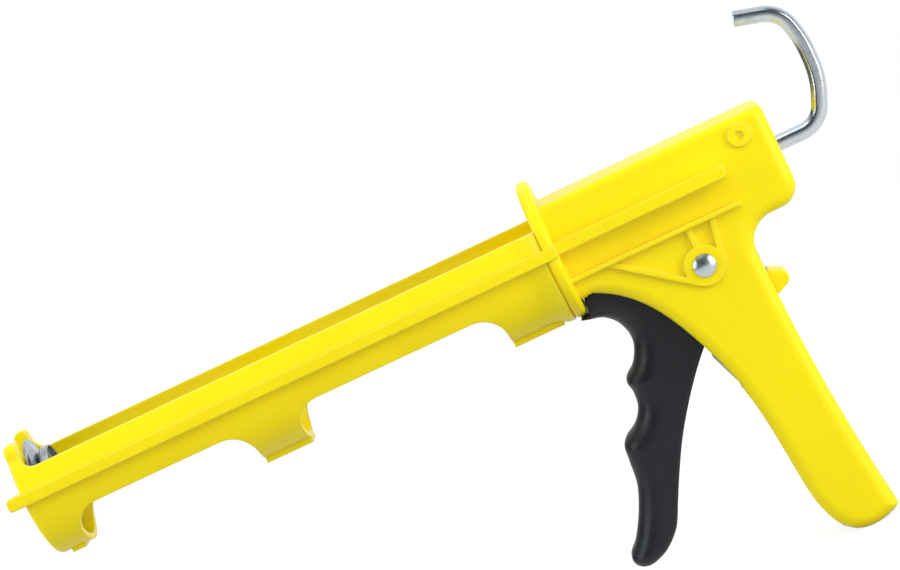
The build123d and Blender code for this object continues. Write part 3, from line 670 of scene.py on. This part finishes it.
def soften(corners, closed):
    """Replaces each corner (along, out, rounding) of a section by a short arc."""
    count, points = len(corners), []
    for i, (along, out, rounding) in enumerate(corners):
        here = Vector((along, out))
        if rounding == 0 or (not closed and i in (0, count - 1)):
            points.append(here)
            continue
        before = Vector(corners[i - 1][:2]) - here
        after = Vector(corners[(i + 1) % count][:2]) - here
        cut = min(rounding, 0.45 * before.length, 0.45 * after.length)
        start, end = here + before.normalized() * cut, here + after.normalized() * cut
        for t in (0.0, 0.25, 0.5, 0.75, 1.0):     # a short curve from start to end
            points.append(start * (1 - t) ** 2 + here * 2 * t * (1 - t) + end * t ** 2)
    return points


def lathe(name, corners, axis, centre, finish, closed=True, steps=96):
    """Turns a section in millimetres about the X or Y axis through a centre in metres."""
    shape, rings = bmesh.new(), []
    for along, out in soften(corners, closed):
        ring = []
        for step in range(steps if out > 1e-6 else 1):
            turn = math.tau * step / steps
            local = [along, out * math.cos(turn), out * math.sin(turn)]
            if axis == "Y":
                local = [local[1], local[0], local[2]]
            ring.append(shape.verts.new(Vector(centre) + Vector(local) * mm))
        rings.append(ring if len(ring) > 1 else ring * steps)
    pairs = list(zip(rings, rings[1:])) + ([(rings[-1], rings[0])] if closed else [])
    for one, two in pairs:
        for k in range(steps):
            loop = list(dict.fromkeys((one[k - 1], one[k], two[k], two[k - 1])))
            if len(loop) > 2:
                shape.faces.new(loop)
    bmesh.ops.recalc_face_normals(shape, faces=shape.faces)
    piece = mesh_piece(name, shape, finish)
    weighted = piece.modifiers.new("flat faces stay flat", "WEIGHTED_NORMAL")
    weighted.keep_sharp = True
    return piece


def dress(piece, body, slot, *replaced):
    """Makes a piece move with a body and hides the solids that it stands for; the slot is not used.
    """
    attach(piece, body)
    if replaced:
        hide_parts(*replaced)


# %% [markdown]
# ### The trigger's rivet
# The rivet is pushed in from the near side and its far end is formed over a washer. Both ends are
# domes. Each has a radius and a height, and an arc through them gives the section.


# %% Rivet and its washer
def dome_arc(face, radius, height, toward):
    """Section of a dome, from its pole down to its rim."""
    ball, steps = (radius ** 2 + height ** 2) / (2 * height), 14
    turns = [math.asin(radius / ball) * k / steps for k in range(steps + 1)]
    return [(face + toward * (height - ball + ball * math.cos(a)), ball * math.sin(a), 0)
            for a in turns]


seat, washer_face, shank = 18.1, 19.1, 3.0
head_radius, head_height, head_rim = 4.9, 2.15, 0.25
tail_radius, tail_height, tail_rim = 4.2, 1.6, 0.2
rivet_centre = (pivot.x, 0.0, pivot.z)
section = dome_arc(-seat - head_rim, head_radius - 0.05, head_height, -1)
section += [(-seat, head_radius, 0.2), (-seat, shank, 0)]
section += [(washer_face, shank, 0), (washer_face, tail_radius, 0.2)]
section += reversed(dome_arc(washer_face + tail_rim, tail_radius - 0.05, tail_height, 1))
rivet = lathe("pivot_rivet_turned", section, "Y", rivet_centre, bright_pivot, closed=False)
dress(rivet, "frame", "bright_steel", "pivot_rivet")
section = [(seat, 3.05, 0.1), (seat, 6.5, 0.1), (washer_face, 6.5, 0.3), (washer_face, 3.05, 0.1)]
washer = lathe("rivet_washer_pressed", section, "Y", rivet_centre, bright_pivot)
dress(washer, "frame", "bright_steel", "rivet_washer")

# %% [markdown]
# ### The plunger
# The plunger is a dished disc of sheet steel with a smaller cup behind it that stiffens it. Pressing
# leaves soft bends and a rounded rim.

# %% Plunger disc and cup
disc = lathe("plunger_disc_pressed", [
    (0.5, 17.1, 0.9), (3.2, 12.0, 1.2), (3.2, 2.5, 0.1), (4.4, 2.5, 0.1), (4.4, 12.0, 1.2),
    (1.7, 17.7, 0.9), (1.7, 20.3, 0.5), (0.5, 20.3, 0.5)],
    "X", (0, 0, 0), bright_rod_axis, steps=128)
dress(disc, "push_rod", "bright_steel", "plunger_disc")
cup = lathe("plunger_cup_pressed", [
    (4.4, 2.5, 0.1), (4.4, 14.9, 1.4), (8.6, 14.9, 0.35), (8.6, 13.9, 0.35), (5.4, 13.9, 0.8),
    (5.4, 2.5, 0.1)],
    "X", (0, 0, 0), bright_rod_axis, steps=128)
dress(cup, "push_rod", "bright_steel", "plunger_cup")

# %% [markdown]
# ### The threaded spigot
# The rod's front end is turned down and threaded for the nut that holds the plunger. A thread this
# small can be a stack of rings: a ridge and a groove for each turn.

# %% Threaded spigot
threads, pitch, crest, root = 13, 0.4, 2.45, 2.1
front, back, point = -0.1, 5.4, 1.9      # both ends along the rod, and the radius of its tip
thread = [(front, 0, 0), (front, point, 0)]
for turn in range(threads):
    start = 0.1 + pitch * turn
    thread += [(start, crest, 0), (start + pitch / 2, root, 0)]
thread += [(back, crest, 0), (back, 0, 0)]
spigot = lathe("rod_spigot", thread, "X", (0, 0, 0), zinc_plate, closed=False, steps=48)
dress(spigot, "push_rod", "zinc_steel")

# %% [markdown]
# ## The trigger's return spring
# A torsion spring sits around the rivet. One leg bears on the handle and stays with the frame, the
# other bears on the trigger and turns with it. So the spring is two pieces of the same wire: the
# coil with its near leg, and the far leg. Both are swept by the bent bar tree with a round section.

# %% Torsion spring
coil_radius, coil_pitch, wire = 4.9, 1.5, 1.4
tip_x, tip_lift, leg_length = 272.0, 1.2, 20.1
knee = Vector((-12.0, -36.7))     # bend of the handle's leg, from the pivot
begin = math.atan2(knee.y, knee.x) - math.acos(coil_radius / knee.length)
finish_angle = math.radians(-60.0)
turns = 3 + ((begin - finish_angle) % math.tau) / math.tau
width = turns * coil_pitch


def on_coil(turn):
    """A point of the coil, after some turns from the handle's leg."""
    angle = begin - turn * math.tau
    return (pivot.x / mm + coil_radius * math.cos(angle), turn * coil_pitch - width / 2,
            pivot.z / mm + coil_radius * math.sin(angle))


def round_wire(name, points, bends):
    """A piece of the spring's round wire along a path."""
    return run_tree(name, bar_tree, path_mesh(name, points, bends), Section_radius=wire / 2 * mm,
                    Sides=12, Edge_radius=0.0, Turn=0.0, Material=wire_steel)


coil_steps = 96
tip = (tip_x, -width / 2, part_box("trigger_spring")[0][2] / mm + tip_lift)
knee_point = (pivot.x / mm + knee.x, -width / 2, pivot.z / mm + knee.y)
coil_points = [on_coil(turns * k / coil_steps) for k in range(coil_steps + 1)]
held = round_wire("return_spring_coil", [tip, knee_point] + coil_points,
                  [0, 3.0] + [0] * len(coil_points))
dress(held, "frame", "spring_steel", "trigger_spring")
leave = Vector((math.sin(finish_angle), 0, -math.cos(finish_angle)))
leg_end = Vector(on_coil(turns)) + leave * leg_length
leg = round_wire("return_spring_leg", [on_coil(turns), tuple(leg_end)], [0, 0])
dress(leg, "trigger", "spring_steel")

# %% [markdown]
# ## The trigger's grip
# The grip is what the fingers feel, so its section changes along the edge: strongly rounded in front,
# where the fingers pull, and nearly square behind. The solid has one small fillet all round. Such a
# pillow shape follows a rule. Take the side view, and let the thickness grow from the outline
# inwards like a quarter of an ellipse whose reach depends on where the edge is.
# The outline is a smooth curve through a few points, given from the pivot in millimetres, each with
# the reach and the depth of its rounding.

# %% Outline of the grip
grip_edge = [
    (-53.4, -0.3, 1.5, 1.5), (-50.6, -1.5, 2.5, 3), (-45.4, -3.5, 5.5, 7), (-41.2, -7.8, 8, 10),
    (-38.8, -13.8, 8, 10), (-39.2, -19.5, 8, 10), (-42.4, -25.5, 8, 10), (-46.8, -29.3, 8, 10),
    (-48.0, -32.3, 8, 10), (-47.3, -36.5, 8, 10), (-48.2, -42.8, 8, 10), (-52.0, -48.2, 8, 10),
    (-57.3, -51.6, 8, 10), (-59.9, -55.2, 8, 10), (-60.6, -61.0, 8, 10), (-61.9, -71.5, 8, 10),
    (-66.2, -82.0, 8, 10), (-71.6, -91.0, 7.5, 10), (-75.5, -95.4, 7, 9), (-76.3, -98.8, 6.5, 8),
    (-74.2, -101.6, 6, 7), (-70.4, -102.5, 5, 6), (-65.8, -101.3, 4, 5), (-60.4, -98.2, 3, 3.5),
    (-54.3, -91.9, 1.8, 2), (-49.4, -82.6, 1.5, 1.5), (-44.0, -72.3, 1.5, 1.5),
    (-36.8, -59.8, 1.5, 1.5), (-28.0, -47.2, 1.5, 1.5), (-19.8, -37.0, 1.5, 1.5),
    (-10.5, -26.5, 1.5, 1.5), (-3.0, -14.5, 1.5, 1.5), (-2.6, -2.0, 1.5, 1.5),
    (-8.0, 5.8, 1.5, 1.5), (-16.5, 9.4, 1.5, 1.5), (-29.0, 10.2, 1.5, 1.5), (-41.0, 10.0, 1.5, 1.5),
    (-48.2, 7.4, 1.5, 1.5), (-49.4, 3.6, 1.5, 1.5), (-49.7, 0.4, 0.8, 0.8)]


def smooth_loop(points, step):
    """A closed curve through points, sampled about every step; more columns are carried along."""
    ring = np.array(points, float)
    curve = []
    for i in range(len(ring)):
        a, b, c, d = (ring[(i + k) % len(ring)] for k in (-1, 0, 1, 2))
        count = max(2, round(np.linalg.norm((c - b)[:2]) / step))
        for t in np.arange(count) / count:
            spline = 0.5 * (2 * b + (c - a) * t + (2 * a - 5 * b + 4 * c - d) * t ** 2
                            + (3 * b - a - 3 * c + d) * t ** 3)
            spline[2:] = b[2:] * (1 - t) + c[2:] * t
            curve.append(spline)
    return np.array(curve)


outline = smooth_loop(grip_edge, step=0.7)
print("outline:", len(outline), "points")

# %% [markdown]
# Rings of points a little further in each time describe the rounding, and a loose grid fills the
# flat middle. A constrained triangulation joins them all inside the outline. Each point then gets its
# thickness from its distance to the outline, once towards the viewer and once away.


# %% Points and thickness of the grip
half_width = 11.0


def distance_to_outline(points):
    """Distance of points to the outline, and the rounding's reach and depth at the nearest spot."""
    start, end = outline, np.roll(outline, -1, axis=0)
    along = end[:, :2] - start[:, :2]
    offset = points[:, None, :] - start[None, :, :2]
    share = np.clip((offset * along).sum(2) / (along ** 2).sum(1), 0, 1)
    gap = np.linalg.norm(offset - share[..., None] * along, axis=2)
    best = gap.argmin(1)
    part = share[np.arange(len(points)), best][:, None]
    sizes = start[best, 2:] * (1 - part) + end[best, 2:] * part
    return gap.min(1), sizes[:, 0], sizes[:, 1]


tangent = np.roll(outline, -1, axis=0)[:, :2] - np.roll(outline, 1, axis=0)[:, :2]
inward = np.stack([-tangent[:, 1], tangent[:, 0]], 1) / np.linalg.norm(tangent, axis=1)[:, None]
filling, grid_step = [], 1.7
ring_angles = np.radians([14, 26, 38, 50, 62, 75, 90])
for quarter in ring_angles:
    depth = outline[:, 2] * (1 - math.cos(quarter))
    ring = outline[:, :2] + inward * depth[:, None]
    gap = distance_to_outline(ring)[0]
    filling.append(ring[gap > depth - 0.03])
across, up = np.meshgrid(np.arange(-77, 0, grid_step), np.arange(-103, 11, grid_step))
grid = np.stack([across.ravel(), up.ravel()], 1)
gap, reach, _ = distance_to_outline(grid)
filling.append(grid[gap > 1.06 * reach])
flat = np.concatenate([outline[:, :2]] + filling)
rim = len(outline)
border = [(i, (i + 1) % rim) for i in range(rim)]
inside_only, nearest = 1, 1e-5
joined = geometry.delaunay_2d_cdt([Vector(c) for c in flat], border, [], inside_only, nearest)
flat = np.array([tuple(c) for c in joined[0]])
triangles = [tuple(t) for t in joined[2]]
gap, reach, depth = distance_to_outline(flat)
share = np.clip(gap / reach, 0, 1)
thickness = half_width - depth + depth * np.sqrt(1 - (1 - share) ** 2)
print("flat mesh:", len(flat), "points,", len(triangles), "triangles")


# %% Grip of the trigger
shape = bmesh.new()
sides = []
for side in (-1, 1):
    sides.append([shape.verts.new((pivot.x + x * mm, side * t * mm, pivot.z + z * mm))
                  for (x, z), t in zip(flat, thickness)])
    for triangle in triangles:
        shape.faces.new([sides[-1][k] for k in triangle])
for k, after in border:
    shape.faces.new([sides[0][k], sides[0][after], sides[1][after], sides[1][k]])
bmesh.ops.delete(shape, geom=[v for v in shape.verts if not v.link_faces], context="VERTS")
bmesh.ops.recalc_face_normals(shape, faces=shape.faces)
grip = mesh_piece("trigger_grip", shape, black)
dress(grip, "trigger", "black_composite", "trigger")

# %% [markdown]
# The grip's hub and its two arms reach up into the receiver, where they push the drive plates. They
# are taken from a copy of the solid: its loose triangles are joined first, then everything beyond a
# slanted plane is cut off and the cut is closed. The copy is a hair narrower than the grip, so that
# their sides don't fall together.

# %% Hub and arms of the trigger
shape = bmesh.new()
shape.from_mesh(nodes["trigger"].data)
bmesh.ops.remove_doubles(shape, verts=shape.verts, dist=1e-6)
plane_at, slant = pivot + Vector((-11, 0, 0)) * mm, (-1, 0, -0.35)
bmesh.ops.bisect_plane(shape, geom=shape.verts[:] + shape.edges[:] + shape.faces[:],
                       plane_co=plane_at, plane_no=slant, clear_outer=True)
bmesh.ops.holes_fill(shape, edges=[e for e in shape.edges if e.is_boundary])
narrower = Matrix.Scale(0.985, 4, (0, 1, 0))
bmesh.ops.transform(shape, matrix=narrower, verts=shape.verts)
hub = mesh_piece("trigger_hub", shape, black)
hub.data.shade_flat()
dress(hub, "trigger", "black_composite")

# %% [markdown]
# ## Floor
# The end of the handle just meets a plain pale floor. The floor looks white to the camera and keeps
# only a faint shadow. A gloss on the gun sees it partly white and partly grey. To everything else it
# is an ordinary pale surface that throws light up under the cradle.

# %% Floor
floor_material, tree, shader = new_material("floor")
floor_grey = (0.44, 0.44, 0.44, 1)
paint(tree, shader, Base_Color=floor_grey, Roughness=0.8)
veil = add(tree, "ShaderNodeBsdfDiffuse", {"Color": (0.22, 0.22, 0.22, 1)})
glow = add(tree, "ShaderNodeEmission", {"Color": (1, 1, 1, 1), "Strength": 0.84})
seen = add(tree, "ShaderNodeAddShader", {0: veil.outputs[0], 1: glow.outputs[0]})
rays = add(tree, "ShaderNodeLightPath").outputs
in_gloss = calc(tree, "MULTIPLY", rays["Is Glossy Ray"], 0.6)
shown = calc(tree, "MAXIMUM", rays["Is Camera Ray"], in_gloss)
mix = add(tree, "ShaderNodeMixShader", {0: shown, 1: shader.outputs[0], 2: seen.outputs[0]})
feed(tree, tree.nodes["Material Output"].inputs["Surface"], mix.outputs[0])
floor_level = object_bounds()[0][2]
centre_x, floor_radius, sides = 0.18, 0.85, 64
turns = [math.tau * k / sides for k in range(sides)]
edge = [(centre_x + floor_radius * math.cos(a), floor_radius * math.sin(a), floor_level)
        for a in turns]
floor_mesh = bpy.data.meshes.new("floor")
floor_mesh.from_pydata(edge, [], [tuple(range(sides))])
floor_mesh.materials.append(floor_material)
floor = bpy.data.objects.new("floor", floor_mesh)
scene.collection.objects.link(floor)
print("floor at", round(floor_level / mm, 1), "mm")

# %% [markdown]
# ## Light
# Plain studio light: a pale even world, a large soft lamp high in front, a cool strip at the left and
# a neutral one at the right for the bands on rounded edges, a weak lamp above, and a large one for
# the far side. Metal needs something dark to reflect, or it looks like grey plastic. So for
# reflections the world has two dark cards, one in front above the horizon and one at the left, as a
# studio would set them up for silverware. The two large lamps stay out of reflections.

# %% World
world = bpy.data.worlds.new("studio")
scene.world = world
world.use_nodes = True
tree = world.node_tree
tree.nodes.clear()
direction = add(tree, "ShaderNodeTexCoord").outputs["Generated"]
away = add(tree, "ShaderNodeSeparateXYZ", {0: direction}).outputs
in_front = fade(tree, away["Y"], 0.20, 0.60, 1.0, 0.0)
at_left = fade(tree, away["X"], -0.70, -0.35, 1.0, 0.0)
front_card = calc(tree, "MULTIPLY", in_front, fade(tree, away["Z"], -0.17, -0.02))
left_card = calc(tree, "MULTIPLY", at_left, fade(tree, away["Z"], -0.50, -0.30))
below_top = fade(tree, away["Z"], 0.80, 0.97, 1.0, 0.0)
card = calc(tree, "MULTIPLY", calc(tree, "MAXIMUM", front_card, left_card), below_top)
sky, dark_card = (0.94, 0.97, 1.0, 1), (0.06, 0.07, 0.085, 1)
mirror = blend_colours(tree, card, sky, dark_card)


def backdrop(colour, strength):
    """Plain light of one colour from all around."""
    return add(tree, "ShaderNodeBackground", {"Color": colour, "Strength": strength}).outputs[0]


pure_white = (1.0, 1.0, 1.0, 1)
rays = add(tree, "ShaderNodeLightPath").outputs
light = add(tree, "ShaderNodeMixShader", {
    0: rays["Is Glossy Ray"], 1: backdrop(pure_white, 0.68), 2: backdrop(mirror, 1.0)})
light = add(tree, "ShaderNodeMixShader", {
    0: rays["Is Camera Ray"], 1: light.outputs[0], 2: backdrop(pure_white, 1.0)})
add(tree, "ShaderNodeOutputWorld", {"Surface": light.outputs[0]})
print("world:", len(tree.nodes), "nodes")

# %% Lamps
lamp_aim = (0.18, 0.0, -0.03)


def soft_lamp(name, place, wide, tall, watts, colour=(1, 1, 1), mirrored=True):
    """A soft rectangular lamp that faces the middle of the gun; it may stay out of reflections."""
    data = bpy.data.lights.new(name, "AREA")
    data.shape = "RECTANGLE"
    data.size, data.size_y, data.energy, data.color = wide, tall, watts, colour
    lamp = bpy.data.objects.new(name, data)
    lamp.matrix_world = facing(place, lamp_aim)
    lamp.visible_glossy = mirrored
    scene.collection.objects.link(lamp)


soft_lamp("key", (0.55, -1.20, 1.00), 1.2, 1.2, 5.4, mirrored=False)
soft_lamp("left strip", (-0.90, -0.30, 0.55), 0.45, 0.9, 6.4, (0.85, 0.93, 1.0))
soft_lamp("right strip", (1.20, -0.45, 0.1), 0.50, 0.9, 7.2)
soft_lamp("top", (0.2, 0.1, 1.2), 0.8, 0.5, 1.2)
soft_lamp("far side", (0.3, 1.3, 0.6), 1.0, 1.0, 6.0, mirrored=False)
scene.view_settings.view_transform = "Standard"
print("lamps:", len(bpy.data.lights))
